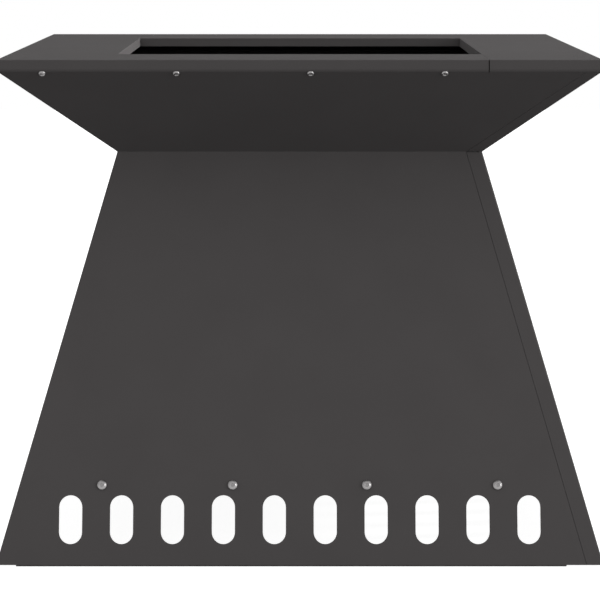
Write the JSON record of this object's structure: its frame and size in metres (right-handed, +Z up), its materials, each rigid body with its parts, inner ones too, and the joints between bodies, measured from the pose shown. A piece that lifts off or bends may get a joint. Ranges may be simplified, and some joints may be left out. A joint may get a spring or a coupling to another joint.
{
  "type": "outdoor fireplace",
  "caption": "Square waisted outdoor fire table of folded sheet steel, with a flared top under a wide rim, slotted base and a lift-out fire box with grate.",
  "frame": {"origin": "on the floor under the middle of the body", "axes": "+Z up, the front side faces -Y, +X to the right seen from the front"},
  "size_m": [0.9022, 0.9022, 0.75],
  "materials": {
    "powder_coat": "matt anthracite powder coat",
    "stainless": "plain stainless steel",
    "fire_steel": "matt heat resistant black",
    "grate_iron": "plain dark iron"
  },
  "bodies": {
    "body": {"front_board": "powder_coat", "right_board": "powder_coat", "back_board": "powder_coat", "left_board": "powder_coat", "front_panel": "powder_coat", "right_panel": "powder_coat", "back_panel": "powder_coat", "left_panel": "powder_coat", "front_rail": "powder_coat", "right_rail": "powder_coat", "back_rail": "powder_coat", "left_rail": "powder_coat", "front_corner_backing": "powder_coat", "right_corner_backing": "powder_coat", "back_corner_backing": "powder_coat", "left_corner_backing": "powder_coat", "front_ledge": "powder_coat", "right_ledge": "powder_coat", "back_ledge": "powder_coat", "left_ledge": "powder_coat", "floor_plate": "powder_coat", "front_board_screw_1": "stainless", "front_board_screw_2": "stainless", "front_board_screw_3": "stainless", "front_board_screw_4": "stainless", "right_board_screw_1": "stainless", "right_board_screw_2": "stainless", "right_board_screw_3": "stainless", "right_board_screw_4": "stainless", "back_board_screw_1": "stainless", "back_board_screw_2": "stainless", "back_board_screw_3": "stainless", "back_board_screw_4": "stainless", "left_board_screw_1": "stainless", "left_board_screw_2": "stainless", "left_board_screw_3": "stainless", "left_board_screw_4": "stainless", "front_plate_screw_1": "stainless", "front_plate_screw_2": "stainless", "front_plate_screw_3": "stainless", "front_plate_screw_4": "stainless", "right_plate_screw_1": "stainless", "right_plate_screw_2": "stainless", "right_plate_screw_3": "stainless", "right_plate_screw_4": "stainless", "back_plate_screw_1": "stainless", "back_plate_screw_2": "stainless", "back_plate_screw_3": "stainless", "back_plate_screw_4": "stainless", "left_plate_screw_1": "stainless", "left_plate_screw_2": "stainless", "left_plate_screw_3": "stainless", "left_plate_screw_4": "stainless"},
    "fire_box": {"fire_box": "fire_steel", "left_handle": "fire_steel", "right_handle": "fire_steel"},
    "fire_grate": {"fire_grate": "grate_iron"}
  },
  "joints": [
    {"name": "fire_box_lift", "type": "slide", "parent": "body", "child": "fire_box", "axis": [0, 0, 1], "range_m": [0, 0.45]},
    {"name": "grate_lift", "type": "slide", "parent": "fire_box", "child": "fire_grate", "axis": [0, 0, 1], "range_m": [0, 0.42]}
  ]
}
